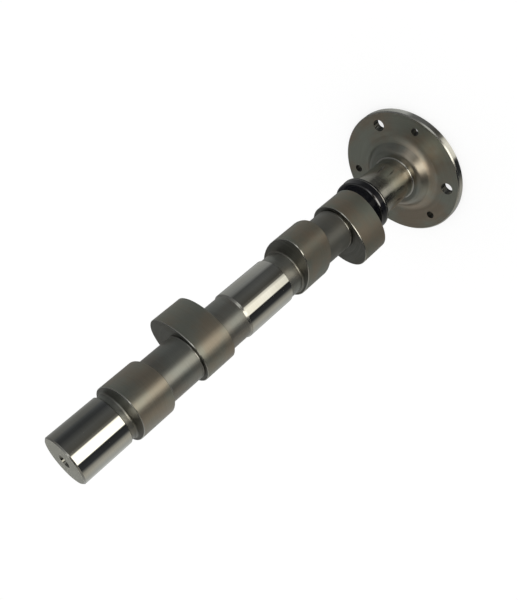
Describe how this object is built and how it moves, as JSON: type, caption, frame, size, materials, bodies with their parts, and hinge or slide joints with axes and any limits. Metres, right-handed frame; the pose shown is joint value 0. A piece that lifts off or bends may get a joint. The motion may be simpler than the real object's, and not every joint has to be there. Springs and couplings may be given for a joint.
{
  "type": "camshaft",
  "caption": "One-piece camshaft for a flat-four engine: ground journals, thrust collar, wide cam lobes and a round drilled flange for the timing gear.",
  "frame": {"origin": "centre of the flange's flat gear face", "axes": "+Z along the shaft's axis from the gear face to the free end; +X through the nose of the lobe nearest the flange"},
  "size_m": [0.075, 0.075, 0.2496],
  "materials": {
    "ground_steel": "ground and polished journals, satin lobes, turned hub and flange"
  },
  "bodies": {
    "root": {"camshaft": "ground_steel"}
  },
  "joints": []
}
